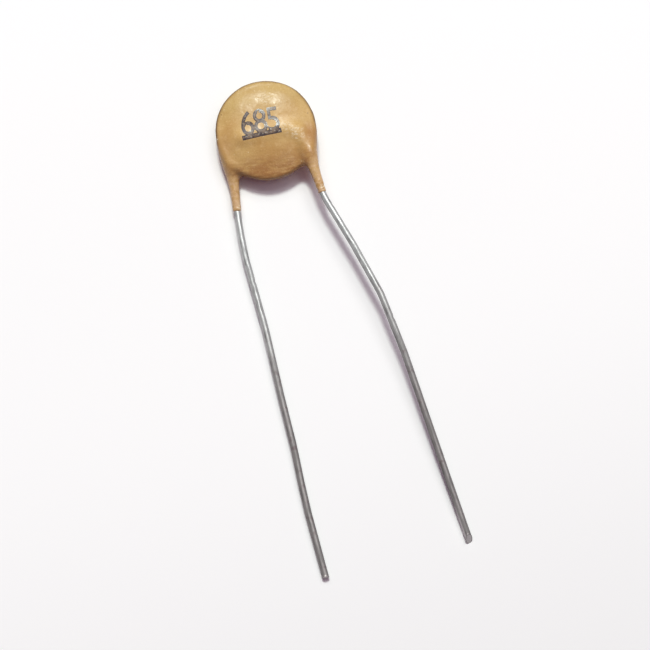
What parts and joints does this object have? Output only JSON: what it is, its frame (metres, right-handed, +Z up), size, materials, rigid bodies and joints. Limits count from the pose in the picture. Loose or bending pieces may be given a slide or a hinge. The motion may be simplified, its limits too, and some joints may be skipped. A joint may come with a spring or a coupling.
{
  "type": "ceramic disc capacitor",
  "caption": "Small round ochre resin-dipped ceramic disc capacitor with two long formed tinned wire leads, lying flat.",
  "frame": {"origin": "bottom centre of the box round the whole part as it lies", "axes": "+Z up off the surface it lies on, out of the stamped front face; +Y from the cut lead ends towards the disc"},
  "size_m": [0.013, 0.0372, 0.0022],
  "materials": {
    "fired_ceramic": "fired barium titanate disc, pale and matt",
    "silver_film": "fired silver paste, thin matt film",
    "solder": "tin solder, satin",
    "tinned_wire": "tinned copper-clad steel wire, drawn, dulled with handling",
    "resin_coat": "dipped phenolic resin coat, ochre, waxed, semi-gloss with orange peel"
  },
  "bodies": {
    "root": {"ceramic_disc": "fired_ceramic", "front_electrode": "silver_film", "back_electrode": "silver_film", "front_solder": "solder", "back_solder": "solder", "front_lead": "tinned_wire", "back_lead": "tinned_wire", "coating": "resin_coat"}
  },
  "joints": []
}
